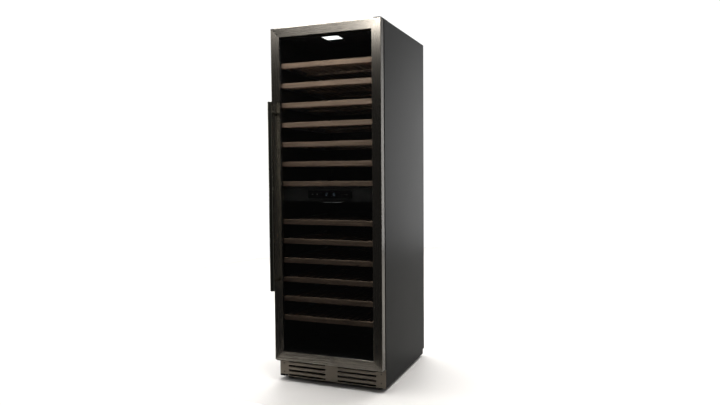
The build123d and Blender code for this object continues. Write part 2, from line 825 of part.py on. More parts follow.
# ---------------------------------------------------------------- write the nodes
def main():
    os.makedirs("parts", exist_ok=True)
    save("left_side_panel", side_panel(-1))
    save("right_side_panel", side_panel(1))
    for build in (
        top_panel, back_panel, rear_grille, compressor, drip_tray, condenser_coil, glass_spacer,
    ):
        save(build.__name__, build())
    for build in (
        base_pan, foam_insulation, upper_liner, lower_liner, zone_divider, duct_covers, evaporators,
        lamp_housings, lamp_lenses, control_panel, compressor_mounts, refrigerant_pipes, power_inlet,
        plinth_grille, hinge_brackets, door_rest_plate, shelf_runners, case_screws,
        door_frame, door_inner_frame, door_gasket, handle_bar, handle_posts, hinge_bushes,
    ):
        save(build.__name__, *build())
    save("outer_glass", glass_pane(glass_front))
    save("inner_glass", glass_pane(glass_back - pane))
    centres = fan_centres() + [condenser_fan_centre()]
    save("fan_frames", *[fan_frame(centre) for centre in centres])
    for name, centre in zip(("upper_fan_rotor", "lower_fan_rotor", "condenser_fan_rotor"), centres):
        save(name, fan_rotor(centre))
    for name, (x, y) in zip(("front_left_foot", "front_right_foot", "rear_left_foot", "rear_right_foot"),
                            foot_places()):
        save(name, levelling_foot(x, y))
    for name, (x, z) in zip(button_names, button_places()):
        save(name, control_button(x, z))
    for index, top in enumerate(shelf_tops, start=1):
        save(f"shelf_{index:02d}", *shelf(top))


main()
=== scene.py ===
"""Looks of a tall dual-zone wine cooler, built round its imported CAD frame.

All sizes are in metres, in the frame's own axes: +Z up, the door faces -Y.
"""

import math

import bmesh
import bpy
from mathutils import Matrix, Vector


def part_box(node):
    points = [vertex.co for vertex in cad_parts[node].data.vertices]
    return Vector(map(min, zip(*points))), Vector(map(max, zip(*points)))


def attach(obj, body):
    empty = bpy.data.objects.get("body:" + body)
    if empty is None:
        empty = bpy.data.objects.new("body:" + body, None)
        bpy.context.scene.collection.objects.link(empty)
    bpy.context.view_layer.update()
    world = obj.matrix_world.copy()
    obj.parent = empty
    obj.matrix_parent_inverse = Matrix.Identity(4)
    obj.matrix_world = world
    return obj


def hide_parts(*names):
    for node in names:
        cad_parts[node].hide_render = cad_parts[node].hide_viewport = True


bl_info = {
    "name": "Wine cooler",
    "version": (1, 0, 0),
    "blender": (4, 5, 0),
    "location": "View3D > Sidebar > Wine cooler",
    "description": "Finishes and fine pieces of a dual-zone wine cooler",
    "category": "Object",
}

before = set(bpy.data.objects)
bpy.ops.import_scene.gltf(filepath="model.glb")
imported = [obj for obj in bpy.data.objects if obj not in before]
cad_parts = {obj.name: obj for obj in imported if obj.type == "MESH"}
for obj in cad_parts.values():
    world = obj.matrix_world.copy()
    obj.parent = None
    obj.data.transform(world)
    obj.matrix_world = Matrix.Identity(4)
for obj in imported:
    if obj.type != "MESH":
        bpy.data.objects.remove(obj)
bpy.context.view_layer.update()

BRUSH_DEPTH = 0.00003
CABINET = "cabinet"
DOOR = "door"
SHELVES = [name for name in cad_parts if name.startswith("shelf_") and name != "shelf_runners"]
FEET = [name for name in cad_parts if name.endswith("_foot")]
ROTORS = [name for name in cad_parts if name.endswith("_rotor")]
BUTTONS = ["power_button", "light_button", "warmer_button", "cooler_button"]
POWER_ICON_GAP = math.radians(50)


# ---- settings
def colour_setting(name, about, default):
    return bpy.props.FloatVectorProperty(
        name=name, description=about, subtype="COLOR", default=default, min=0, max=1)


def share_setting(name, about, default):
    return bpy.props.FloatProperty(
        name=name, description=about, subtype="FACTOR", default=default, min=0, max=1)


def level_setting(name, about, default):
    return bpy.props.FloatProperty(name=name, description=about, default=default, min=0)


def length_setting(name, about, default):
    return bpy.props.FloatProperty(
        name=name, description=about, subtype="DISTANCE", unit="LENGTH", default=default)


def power_setting(name, about, default):
    return bpy.props.FloatProperty(
        name=name, description=about, subtype="POWER", unit="POWER", default=default, min=0)


class CoolerFinishes(bpy.types.PropertyGroup):
    """Colours and gloss of the cooler's surfaces."""

    steel: colour_setting("Steel", "Colour of the brushed stainless sheet", (0.56, 0.51, 0.44))
    steel_roughness: share_setting("Steel roughness", "Roughness between the brush marks", 0.27)
    # Painted shade: the folded edges are the same steel sheet as the face, darkened to this colour.
    rim: colour_setting("Rim", "Colour of the steel on the door's folded edges", (0.29, 0.27, 0.245))
    # Partly real, partly painted: the plinth steel is a little duller, and its darker, browner colour is
    # painted shade and a painted reflection of the floor.
    plinth: colour_setting("Plinth", "Colour of the plinth's duller steel", (0.27, 0.235, 0.195))
    paint: colour_setting("Paint", "Colour of the cabinet's painted sheet", (0.016, 0.0157, 0.0145))
    paint_roughness: share_setting("Paint roughness", "Roughness of the cabinet's paint", 0.3)
    plastic: colour_setting("Liner", "Colour of the moulded black liner", (0.012, 0.012, 0.013))
    wood_light: colour_setting("Wood, light", "Pale bands of the shelf wood", (0.38, 0.265, 0.205))
    wood_dark: colour_setting("Wood, dark", "Dark bands of the shelf wood", (0.225, 0.152, 0.114))
    glass_tint: colour_setting("Glass tint", "What the outer pane lets through", (0.6, 0.59, 0.57))
    handle: colour_setting("Handle", "Colour of the handle's dark polished steel", (0.24, 0.23, 0.19))
    lamp_colour: colour_setting("Lamp colour", "Colour of the zone lamps", (0.93, 0.97, 1.0))
    lamp_strength: level_setting("Lamp strength", "Brightness of the upper lamp's lens", 3.5)
    lower_lamp_strength: level_setting("Lower lamp strength", "Brightness of the lower lamp's lens", 0.5)


class CoolerSizes(bpy.types.PropertyGroup):
    """Sizes of the fine pieces that the frame leaves to this file."""

    gasket_pleats: bpy.props.IntProperty(
        name="Gasket pleats", description="Folds in the gasket's bellows", default=2, min=1, max=4)
    digit_height: length_setting("Digit height", "Height of the temperature digits", 0.013)
    icon_size: length_setting("Icon size", "Width of the marks on the buttons", 0.005)
    mark_relief: length_setting("Mark relief", "How far printed marks stand off their surface", 0.00015)
    guard_wire: length_setting("Guard wire", "Wire radius of the fan guards", 0.0009)
    guard_rings: bpy.props.IntProperty(
        name="Guard rings", description="Wire rings in each fan guard", default=6, min=2, max=12)


class CoolerStage(bpy.types.PropertyGroup):
    """Floor, lamps and camera."""

    floor_radius: length_setting("Floor radius", "Radius of the round pale floor", 3.1)
    floor_reach: length_setting("Floor reach", "Floor in front of the door's face", 0.31)
    floor_colour: colour_setting("Floor colour", "Colour of the pale floor", (0.93, 0.9, 0.865))
    # Painted shade: reflections and bounce light see the floor darker than the camera does.
    floor_shade_in_bounce: colour_setting(
        "Floor bounce", "Colour of the floor as the cooler's surfaces reflect it", (0.42, 0.41, 0.39))
    backdrop: colour_setting("Backdrop", "Colour behind the cooler", (1.0, 1.0, 1.0))
    backdrop_light: level_setting("Backdrop light", "Brightness of the white behind the cooler", 1.05)
    rear_light: level_setting("Rear light", "Light from the white studio behind the cooler", 3.6)
    front_light: level_setting("Front light", "Light from the dark studio in front of the cooler", 0.013)
    overhead_light: level_setting("Overhead light", "Light from above", 0.1)
    key_power: power_setting("Key power", "Power of the round lamp high on the left", 14.0)
    front_power: power_setting("Front power", "Power of the softbox above the floor in front", 30.0)
    strip_power: power_setting("Strip power", "Power of the strip that only glossy surfaces show", 4.0)
    shelf_power: power_setting("Shelf power", "Power of the narrow softbox on the upper shelves", 3.4)
    side_power: power_setting("Side power", "Power of the tall softbox beside the cooler's left panel", 60.0)
    floor_power: power_setting(
        "Floor power", "Power of the wide softbox over the floor behind the cooler", 400.0)
    lens: bpy.props.FloatProperty(
        name="Lens", description="Focal length, in millimetres", default=30.185, min=10)
    camera_place: bpy.props.FloatVectorProperty(
        name="Camera", description="Camera position",
        subtype="TRANSLATION", unit="LENGTH", default=(1.307, -3.0102, 1.0723))
    camera_heading: bpy.props.FloatVectorProperty(
        name="Heading", description="Pan, tilt and roll of the camera",
        subtype="EULER", unit="ROTATION", default=(-0.3702, -0.0522, -0.0068))
    camera_shift: bpy.props.FloatVectorProperty(
        name="Shift", description="Lens shift across and up", size=2, default=(-0.02045, 0.00393))


def finishes():
    return bpy.context.scene.wine_cooler_finishes


def sizes():
    return bpy.context.scene.wine_cooler_sizes


def stage_settings():
    return bpy.context.scene.wine_cooler_stage


# ---- node helpers
def set_inputs(tree, node, values):
    """Sets a node's sockets from numbers, colours or other nodes' outputs."""
    for key, value in values.items():
        if isinstance(value, bpy.types.NodeSocket):
            tree.links.new(value, node.inputs[key])
        else:
            node.inputs[key].default_value = value
    return node


def add(tree, kind, values=None, **settings):
    """New shader node with its settings and sockets set."""
    node = tree.nodes.new("ShaderNode" + kind)
    for name, value in settings.items():
        setattr(node, name, value)
    return set_inputs(tree, node, values or {})


def math_node(tree, operation, first, second):
    return add(tree, "Math", {0: first, 1: second}, operation=operation).outputs[0]


def plus(tree, first, second):
    return math_node(tree, "ADD", first, second)


def minus(tree, first, second):
    return math_node(tree, "SUBTRACT", first, second)


def times(tree, first, second):
    return math_node(tree, "MULTIPLY", first, second)


def stretched(tree, vector, factors):
    return add(tree, "VectorMath", {0: vector, 1: factors}, operation="MULTIPLY").outputs[0]


def noise(tree, place, scale, detail, roughness=0.5, distortion=0.0):
    """Value of a noise texture."""
    return add(tree, "TexNoise", {
        "Vector": place, "Scale": scale, "Detail": detail, "Roughness": roughness,
        "Distortion": distortion}).outputs["Fac"]


def ramp(tree, value, *stops):
    """Colour ramp with (position, grey) stops."""
    node = add(tree, "ValToRGB", {"Fac": value})
    points = node.color_ramp.elements
    while len(points) < len(stops):
        points.new(1.0)
    for point, (position, grey) in zip(points, stops):
        point.position = position
        point.color = (grey, grey, grey, 1)
    return node.outputs["Color"]


def opaque(colour):
    """The colour with full alpha; a node's output is passed on."""
    return colour if isinstance(colour, bpy.types.NodeSocket) else (*tuple(colour)[:3], 1)


def shade(colour, factor, lift=0.0):
    """The colour made darker or paler, up to white."""
    return [min(factor * value + lift, 1) for value in tuple(colour)[:3]]


def mix(tree, factor, first, second):
    """Mixed colour; sockets 6 and 7 of the Mix node take its two colours."""
    values = {0: factor, 6: opaque(first), 7: opaque(second)}
    return add(tree, "Mix", values, data_type="RGBA").outputs[2]


def new_group(name, inputs, outputs):
    """Empty shader node group: the group, what its user gives it, and its output node."""
    group = bpy.data.node_groups.new(name, "ShaderNodeTree")
    for label, kind, default in inputs:
        socket = group.interface.new_socket(label, in_out="INPUT", socket_type="NodeSocket" + kind)
        if default is not None:
            socket.default_value = default
    for label, kind in outputs:
        group.interface.new_socket(label, in_out="OUTPUT", socket_type="NodeSocket" + kind)
    return group, group.nodes.new("NodeGroupInput").outputs, group.nodes.new("NodeGroupOutput")


def place_group(tree, name, values):
    """The named effect as a node in a material; the group is built on first use."""
    if name not in bpy.data.node_groups:
        EFFECTS[name]()
    node = tree.nodes.new("ShaderNodeGroup")
    node.node_tree = bpy.data.node_groups[name]
    return set_inputs(tree, node, values)


# ---- shared effects
def build_brush_marks():
    """Long fine scratches; Stretch is small along the brushing and large across it."""
    group, given, sink = new_group(
        "brush_marks",
        [("Vector", "Vector", None), ("Stretch", "Vector", (1.0, 1.0, 1.0)), ("Roughness", "Float", 0.3),
         ("Spread", "Float", 0.12)],
        [("Roughness", "Float"), ("Height", "Float"), ("Tone", "Float")])
    fine = noise(group, stretched(group, given["Vector"], given["Stretch"]), 1.0, 4.0, roughness=0.65)
    broad = noise(group, given["Vector"], 2.2, 2.0)
    centred = minus(group, fine, 0.5)
    change = times(group, plus(group, centred, minus(group, broad, 0.5)), given["Spread"])
    set_inputs(group, sink, {
        "Roughness": plus(group, given["Roughness"], change),
        "Height": fine,
        "Tone": plus(group, times(group, centred, 0.5), 0.5),
    })


def build_fine_texture():
    """Small even relief, as orange peel in paint or the grain of a mould."""
    group, given, sink = new_group(
        "fine_texture", [("Vector", "Vector", None), ("Scale", "Float", 900.0), ("Detail", "Float", 2.0)],
        [("Height", "Float")])
    set_inputs(group, sink, {"Height": noise(group, given["Vector"], given["Scale"], given["Detail"])})


def build_hand_wear():
    """Broad smears that change the gloss, as wiping and fingers leave."""
    group, given, sink = new_group(
        "hand_wear",
        [("Vector", "Vector", None), ("Roughness", "Float", 0.4), ("Amount", "Float", 0.1),
         ("Scale", "Float", 6.0)],
        [("Roughness", "Float"), ("Mask", "Float")])
    smears = noise(group, given["Vector"], given["Scale"], 5.0, roughness=0.55, distortion=0.6)
    mask = ramp(group, smears, (0.35, 0.0), (0.7, 1.0))
    change = times(group, mask, given["Amount"])
    set_inputs(group, sink, {"Roughness": plus(group, given["Roughness"], change), "Mask": mask})


def build_edge_wear():
    """Mask of the outer edges, broken up by noise."""
    group, given, sink = new_group(
        "edge_wear", [("Vector", "Vector", None), ("Width", "Float", 0.0015), ("Amount", "Float", 0.6)],
        [("Mask", "Float")])
    rounded = add(group, "Bevel", {"Radius": given["Width"]}, samples=4).outputs["Normal"]
    flat = add(group, "NewGeometry").outputs["Normal"]
    likeness = add(group, "VectorMath", {0: rounded, 1: flat}, operation="DOT_PRODUCT").outputs["Value"]
    edge = ramp(group, minus(group, 1.0, likeness), (0.03, 0.0), (0.2, 1.0))
    broken = ramp(group, noise(group, given["Vector"], 60.0, 4.0), (0.42, 0.0), (0.62, 1.0))
    set_inputs(group, sink, {"Mask": times(group, times(group, edge, broken), given["Amount"])})


def build_settled_dust():
    """Mask of what faces upwards, with the speckle of dust."""
    group, given, sink = new_group(
        "settled_dust", [("Vector", "Vector", None), ("Amount", "Float", 0.3)], [("Mask", "Float")])
    rise = add(group, "SeparateXYZ", {0: add(group, "NewGeometry").outputs["Normal"]}).outputs["Z"]
    upward = ramp(group, rise, (0.6, 0.0), (0.95, 1.0))
    speckle = ramp(group, noise(group, given["Vector"], 35.0, 6.0), (0.3, 0.0), (0.75, 1.0))
    set_inputs(group, sink, {"Mask": times(group, times(group, upward, speckle), given["Amount"])})


def build_wood_grain():
    """Straight-grained hardwood; Stretch is small along the grain. Pores are short dark lines."""
    group, given, sink = new_group(
        "wood_grain",
        [("Vector", "Vector", None), ("Stretch", "Vector", (1.0, 1.0, 1.0)),
         ("Light", "Color", (0.5, 0.3, 0.2, 1)), ("Dark", "Color", (0.3, 0.2, 0.1, 1))],
        [("Colour", "Color"), ("Height", "Float"), ("Roughness", "Float")])
    grain = stretched(group, given["Vector"], given["Stretch"])
    rings = noise(group, grain, 1.0, 3.0, distortion=0.8)
    pores = noise(group, stretched(group, grain, (4.0, 4.0, 4.0)), 1.0, 5.0, roughness=0.7)
    bands = ramp(group, rings, (0.32, 0.0), (0.68, 1.0))
    lines = ramp(group, pores, (0.36, 0.0), (0.5, 1.0))
    banded = mix(group, bands, given["Dark"], given["Light"])
    between_pores = plus(group, times(group, lines, 0.35), 0.65)
    set_inputs(group, sink, {
        "Colour": mix(group, between_pores, given["Dark"], banded),
        "Height": plus(group, times(group, lines, 0.7), times(group, bands, 0.3)),
        "Roughness": minus(group, 0.62, times(group, lines, 0.14)),
    })


EFFECTS = {
    "brush_marks": build_brush_marks,
    "fine_texture": build_fine_texture,
    "hand_wear": build_hand_wear,
    "edge_wear": build_edge_wear,
    "settled_dust": build_settled_dust,
    "wood_grain": build_wood_grain,
}


# ---- materials
def new_material():
    """Material with a Principled shader; returns it, its tree, the shader and object coordinates."""
    material = bpy.data.materials.new("finish")
    material.use_nodes = True
    tree = material.node_tree
    shader = tree.nodes["Principled BSDF"]
    return material, tree, shader, add(tree, "TexCoord").outputs["Object"]


def set_values(shader, **values):
    """Sets plain values of the Principled shader, named as its sockets are."""
    for name, value in values.items():
        key = name.replace("_", " ").title().replace("Ior", "IOR")
        shader.inputs[key].default_value = opaque(value) if key.endswith("Color") else value


def bump(tree, shader, height, strength, distance):
    relief = add(tree, "Bump", {"Height": height, "Strength": strength, "Distance": distance})
    set_inputs(tree, shader, {"Normal": relief.outputs["Normal"]})


def wiped(tree, place, roughness, amount, scale):
    """Smears of wiping and fingers on a surface's roughness."""
    return place_group(tree, "hand_wear", {
        "Vector": place, "Roughness": roughness, "Amount": amount, "Scale": scale})


def dusted(tree, place, tone, amount, dust_colour):
    """The tone with dust on what faces upwards."""
    if not amount:
        return tone
    layer = place_group(tree, "settled_dust", {"Vector": place, "Amount": amount})
    return mix(tree, layer.outputs["Mask"], tone, dust_colour)


def brushed_metal(colour, roughness, stretch, spread=0.12, worn=0.0, glare=None, smear=0.88):
    """Brushed sheet.

    stretch gives the marks per metre along X, Y and Z, glare the axis that highlights spread along, and
    smear how far they spread.
    """
    material, tree, shader, place = new_material()
    marks = place_group(tree, "brush_marks", {
        "Vector": place, "Stretch": stretch, "Roughness": roughness, "Spread": spread})
    pale = mix(tree, marks.outputs["Tone"], shade(colour, 0.86), shade(colour, 1.12))
    if worn:
        edge = place_group(tree, "edge_wear", {"Vector": place, "Amount": worn})
        pale = mix(tree, edge.outputs["Mask"], pale, shade(colour, 1.5, lift=0.1))
    set_inputs(tree, shader, {"Base Color": pale, "Roughness": marks.outputs["Roughness"]})
    set_values(shader, metallic=1.0)
    if glare:
        tangent = add(tree, "VectorTransform", {0: glare}, convert_from="OBJECT", convert_to="WORLD")
        set_inputs(tree, shader, {"Tangent": tangent.outputs[0]})
        set_values(shader, anisotropic=smear)
    bump(tree, shader, marks.outputs["Height"], 0.35, BRUSH_DEPTH)
    return material


def zinc_coated(colour, roughness, crystals=70.0, ragged=0.012):
    """Galvanised sheet: crystals of zinc with ragged outlines, which differ in tone and gloss."""
    material, tree, shader, place = new_material()
    bent = add(tree, "TexNoise", {"Vector": place, "Scale": 30.0, "Detail": 3.0}).outputs["Color"]
    moved = stretched(tree, bent, (ragged, ragged, ragged))
    centre = add(tree, "VectorMath", {0: place, 1: moved}, operation="ADD").outputs[0]
    cells = add(tree, "TexVoronoi", {"Vector": centre, "Scale": crystals}).outputs["Color"]
    grey = add(tree, "RGBToBW", {0: cells}).outputs[0]
    fine = wiped(tree, place, roughness, 0.08, 2.5)
    set_inputs(tree, shader, {
        "Base Color": mix(tree, grey, shade(colour, 0.84), shade(colour, 1.14)),
        "Roughness": plus(tree, fine.outputs["Roughness"], times(tree, grey, 0.12)),
    })
    set_values(shader, metallic=1.0)
    bump(tree, shader, grey, 0.12, 0.0001)
    return material


def painted_sheet(colour, roughness, peel=500.0, dust=0.0, worn=0.35):
    """Powder-coated steel with orange peel, wiped smears, bare edges and dust on top."""
    material, tree, shader, place = new_material()
    smears = wiped(tree, place, roughness, 0.03, 2.0)
    edge = place_group(tree, "edge_wear", {"Vector": place, "Amount": worn, "Width": 0.001})
    broad = noise(tree, place, 5.0, 3.0)
    tone = mix(tree, broad, shade(colour, 0.96), shade(colour, 1.05))
    tone = mix(tree, edge.outputs["Mask"], tone, (0.16, 0.16, 0.155))
    tone = dusted(tree, place, tone, dust, (0.3, 0.29, 0.27))
    set_inputs(tree, shader, {"Base Color": tone, "Roughness": smears.outputs["Roughness"]})
    set_values(shader, specular_ior_level=0.05)
    relief = place_group(tree, "fine_texture", {"Vector": place, "Scale": peel, "Detail": 1.5})
    bump(tree, shader, relief.outputs["Height"], 0.25, 0.0002)
    return material


def moulded_plastic(colour, roughness, grain=1400.0, relief=0.3, dust=0.0):
    """Moulded plastic with a fine grain and uneven gloss."""
    material, tree, shader, place = new_material()
    smears = wiped(tree, place, roughness, 0.12, 9.0)
    tone = mix(tree, smears.outputs["Mask"], shade(colour, 0.92), shade(colour, 1.15))
    tone = dusted(tree, place, tone, dust, (0.25, 0.24, 0.22))
    set_inputs(tree, shader, {"Base Color": tone, "Roughness": smears.outputs["Roughness"]})
    texture = place_group(tree, "fine_texture", {"Vector": place, "Scale": grain, "Detail": 3.0})
    bump(tree, shader, texture.outputs["Height"], relief, 0.00012)
    return material


def shelf_wood(stretch):
    """Oiled hardwood with its grain along one axis."""
    material, tree, shader, place = new_material()
    settings = finishes()
    grain = place_group(tree, "wood_grain", {
        "Vector": place, "Stretch": stretch, "Light": opaque(settings.wood_light),
        "Dark": opaque(settings.wood_dark)})
    set_inputs(tree, shader, {
        "Base Color": grain.outputs["Colour"], "Roughness": grain.outputs["Roughness"]})
    set_values(shader, coat_weight=0.08, coat_roughness=0.45)
    bump(tree, shader, grain.outputs["Height"], 0.35, 0.0002)
    return material


def clear_glass(tint, smear=0.02):
    """Flat glass that bends sight and lets lamps and soft light through with its tint."""
    material, tree, shader, place = new_material()
    set_values(shader, base_color=tint, transmission_weight=1.0, ior=1.5, specular_ior_level=0.35)
    film = wiped(tree, place, 0.0, smear, 4.0)
    set_inputs(tree, shader, {"Roughness": film.outputs["Roughness"]})
    surface_tint = [value ** 0.5 for value in tuple(tint)[:3]]
    through = add(tree, "BsdfTransparent", {"Color": opaque(surface_tint)}).outputs[0]
    path = add(tree, "LightPath")
    seen = shader.outputs[0]
    for ray in ("Is Diffuse Ray", "Is Shadow Ray"):
        seen = add(tree, "MixShader", {0: path.outputs[ray], 1: seen, 2: through}).outputs[0]
    set_inputs(tree, tree.nodes["Material Output"], {"Surface": seen})
    return material


def glowing(colour, strength, base=(0.9, 0.9, 0.9)):
    """Frosted lens lit from behind, slightly uneven."""
    material, tree, shader, place = new_material()
    uneven = noise(tree, place, 40.0, 1.0)
    set_inputs(tree, shader, {"Emission Color": mix(tree, uneven, shade(colour, 0.94), colour)})
    set_values(shader, base_color=base, roughness=0.35, emission_strength=strength)
    return material


# Brush marks per metre along X, Y and Z: long ones across the door, and long ones up it.
MARKS_ACROSS = (6.0, 1500.0, 1500.0)
MARKS_UPRIGHT = (1500.0, 1500.0, 6.0)

FINISH_MAKERS = {
    "stainless_across": lambda: brushed_metal(
        finishes().steel, finishes().steel_roughness, MARKS_ACROSS,
        spread=0.05, glare=(0, 0, 1), smear=0.76),
    "stainless_upright": lambda: brushed_metal(
        finishes().steel, finishes().steel_roughness, MARKS_UPRIGHT, spread=0.05, glare=(1, 0, 0)),
    # Painted shade: these rims are the door steel darkened to the rim colour for the folded edges.
    "rim_across": lambda: brushed_metal(finishes().rim, 0.26, MARKS_ACROSS, glare=(0, 1, 0)),
    "rim_upright": lambda: brushed_metal(finishes().rim, 0.26, MARKS_UPRIGHT, glare=(0, 1, 0)),
    # Painted shade and painted floor reflection in the plinth's dark, brown base colour.
    "plinth_steel": lambda: brushed_metal(finishes().plinth, 0.3, MARKS_ACROSS, worn=0.25),
    "handle_metal": lambda: brushed_metal(
        finishes().handle, 0.24, (2200.0, 2200.0, 9.0), spread=0.08, worn=0.4),
    "dull_screw": lambda: brushed_metal((0.16, 0.14, 0.12), 0.4, (60.0, 60.0, 60.0), spread=0.2),
    "zinc_plate": lambda: brushed_metal((0.5, 0.5, 0.49), 0.38, (60.0, 60.0, 60.0), spread=0.2),
    "galvanised_sheet": lambda: zinc_coated((0.46, 0.47, 0.48), 0.42),
    "finned_aluminium": lambda: brushed_metal((0.72, 0.73, 0.74), 0.35, (400.0, 20.0, 400.0)),
    "spacer_metal": lambda: brushed_metal((0.1, 0.1, 0.105), 0.4, (300.0, 300.0, 300.0)),
    "copper_pipe": lambda: brushed_metal(
        (0.78, 0.4, 0.27), 0.28, (80.0, 80.0, 80.0), spread=0.3, worn=0.2),
    "cabinet_paint": lambda: painted_sheet(finishes().paint, finishes().paint_roughness, dust=0.05),
    "hinge_paint": lambda: painted_sheet((0.02, 0.02, 0.02), 0.36, peel=900.0, worn=0.7),
    "compressor_enamel": lambda: painted_sheet(
        (0.014, 0.014, 0.015), 0.32, peel=260.0, dust=0.35, worn=0.2),
    "liner_plastic": lambda: moulded_plastic(finishes().plastic, 0.38),
    "tray_plastic": lambda: moulded_plastic((0.03, 0.03, 0.032), 0.5, dust=0.3),
    "fan_plastic": lambda: moulded_plastic((0.018, 0.018, 0.019), 0.4, grain=700.0),
    "panel_gloss": lambda: moulded_plastic((0.006, 0.006, 0.007), 0.12, grain=300.0, relief=0.04),
    "bush_nylon": lambda: moulded_plastic((0.12, 0.12, 0.115), 0.45),
    "foot_pad": lambda: moulded_plastic((0.02, 0.02, 0.02), 0.6, grain=900.0, dust=0.2),
    "soft_rubber": lambda: moulded_plastic((0.014, 0.014, 0.014), 0.7, grain=2200.0, dust=0.15),
    "insulation_foam": lambda: moulded_plastic((0.72, 0.62, 0.4), 0.9, grain=500.0, relief=0.8),
    "wood_across": lambda: shelf_wood((7.0, 160.0, 160.0)),
    "wood_lengthwise": lambda: shelf_wood((160.0, 7.0, 160.0)),
    "tinted_pane": lambda: clear_glass(finishes().glass_tint),
    "clear_pane": lambda: clear_glass((0.9, 0.92, 0.91), smear=0.01),
    "lit_lens": lambda: glowing(finishes().lamp_colour, finishes().lamp_strength),
    "dimmed_lens": lambda: glowing(finishes().lamp_colour, finishes().lower_lamp_strength),
    "display_light": lambda: glowing((0.5, 0.75, 1.0), 0.12, base=(0.1, 0.1, 0.12)),
    "display_glass": lambda: moulded_plastic(
        (0.002, 0.002, 0.003), 0.06, grain=200.0, relief=0.01),
    "printed_mark": lambda: moulded_plastic((0.3, 0.3, 0.3), 0.5),
    "wire_metal": lambda: brushed_metal((0.6, 0.6, 0.6), 0.25, (40.0, 40.0, 40.0), spread=0.15),
}


def finish(name):
    """The named finish, made on first use."""
    if name not in bpy.data.materials:
        FINISH_MAKERS[name]().name = name
    return bpy.data.materials[name]


def coat(node, *names, choose=None):
    """Puts finishes on a frame node; choose(polygon centre) gives a finish's index if there are several."""
    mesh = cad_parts[node].data
    mesh.materials.clear()
    for name in names:
        mesh.materials.append(finish(name))
    for polygon in mesh.polygons:
        polygon.material_index = choose(polygon.center) if choose else 0


# ---- mesh helpers
def new_piece(name, shape, body, material, smooth=None):
    """Makes a piece that rides on a body from (points, faces); smooth is the largest angle not sharp."""
    mesh = mesh_from(name, *shape)
    piece = bpy.data.objects.new(name, mesh)
    bpy.context.scene.collection.objects.link(piece)
    mesh.materials.append(finish(material))
    if smooth is not None:
        for polygon in mesh.polygons:
            polygon.use_smooth = True
        mesh.set_sharp_from_angle(angle=smooth)
    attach(piece, body)
    return piece


def mesh_from(name, points, faces):
    mesh = bpy.data.meshes.new(name)
    mesh.from_pydata([tuple(point) for point in points], [], faces)
    form = bmesh.new()
    form.from_mesh(mesh)
    bmesh.ops.recalc_face_normals(form, faces=form.faces)
    form.to_mesh(mesh)
    form.free()
    return mesh


def ribbon(centre_line, closed, across, thickness):
    """Points and faces of a flat mark in the XZ plane that follows a line."""
    points, faces = [], []
    count = len(centre_line)
    for index, place in enumerate(centre_line):
        before = centre_line[index - 1] if index or closed else place
        after = centre_line[(index + 1) % count] if index + 1 < count or closed else place
        along = (after - before).normalized()
        side = Vector((-along.z, 0, along.x)) * across / 2
        for offset, depth in ((side, 0), (-side, 0), (-side, -thickness), (side, -thickness)):
            points.append(place + offset + Vector((0, depth, 0)))
    for index in range(count if closed else count - 1):
        first, second = 4 * index, 4 * ((index + 1) % count)
        for corner in range(4):
            following = (corner + 1) % 4
            faces.append((first + corner, first + following, second + following, second + corner))
    if not closed:
        last = 4 * (count - 1)
        faces += [(0, 1, 2, 3), (last + 3, last + 2, last + 1, last)]
    return points, faces


def joined(parts):
    """Several (points, faces) as one."""
    points, faces = [], []
    for some_points, some_faces in parts:
        base = len(points)
        points += some_points
        faces += [tuple(base + index for index in face) for face in some_faces]
    return points, faces


def ring_tube(centre, radius, wire, turns=40, sides=8):
    """Points and faces of a wire ring that faces along Y."""
    points, faces = [], []
    for turn in range(turns):
        angle = 2 * math.pi * turn / turns
        outward = Vector((math.cos(angle), 0, math.sin(angle)))
        for side in range(sides):
            around = 2 * math.pi * side / sides
            offset = outward * math.cos(around) + Vector((0, 1, 0)) * math.sin(around)
            points.append(centre + outward * radius + offset * wire)
    for turn in range(turns):
        for side in range(sides):
            a, b = turn * sides + side, turn * sides + (side + 1) % sides
            c, d = ((turn + 1) % turns) * sides + (side + 1) % sides, ((turn + 1) % turns) * sides + side
            faces.append((a, b, c, d))
    return points, faces


def straight_tube(start, end, radius, sides=8):
    """Points and faces of a closed round bar."""
    along = (end - start).normalized()
    aside = along.orthogonal().normalized()
    other = along.cross(aside)
    points = []
    for place in (start, end):
        for side in range(sides):
            around = 2 * math.pi * side / sides
            points.append(place + (aside * math.cos(around) + other * math.sin(around)) * radius)
    faces = [(side, (side + 1) % sides, sides + (side + 1) % sides, sides + side) for side in range(sides)]
    faces += [tuple(range(sides - 1, -1, -1)), tuple(range(sides, 2 * sides))]
    return points, faces


def box_corners(box):
    """Lowest and highest corner of a box, as vectors."""
    return [Vector(corner) for corner in box]


def middle_of(node):
    low, high = box_corners(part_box(node))
    return (low + high) / 2


# ---- operators: cabinet
class MakeCabinetShell(bpy.types.Operator):
    """Paint the cabinet's outer sheets and finish its back and floor pan"""

    bl_idname = "wine_cooler.make_cabinet_shell"
    bl_label = "Cabinet shell"

    def execute(self, context):
        for node in ("left_side_panel", "right_side_panel", "top_panel", "rear_grille"):
            coat(node, "cabinet_paint")
        for node in ("back_panel", "base_pan"):
            coat(node, "galvanised_sheet")
        coat("foam_insulation", "insulation_foam")
        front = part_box("plinth_grille")[1][1]
        coat("case_screws", "zinc_plate", "dull_screw", choose=lambda centre: int(centre.y < front))
        coat("power_inlet", "tray_plastic", "zinc_plate", choose=self.pin_or_shell)
        return {"FINISHED"}

    @staticmethod
    def pin_or_shell(centre):
        """The pins rise from the socket's floor, near its middle."""
        reach_x, reach_z, floor_level = 0.009, 0.006, 0.007
        low, high = box_corners(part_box("power_inlet"))
        middle = (low + high) / 2
        inside = abs(centre.x - middle.x) < reach_x and abs(centre.z - middle.z) < reach_z
        return int(inside and centre.y > low.y + floor_level)


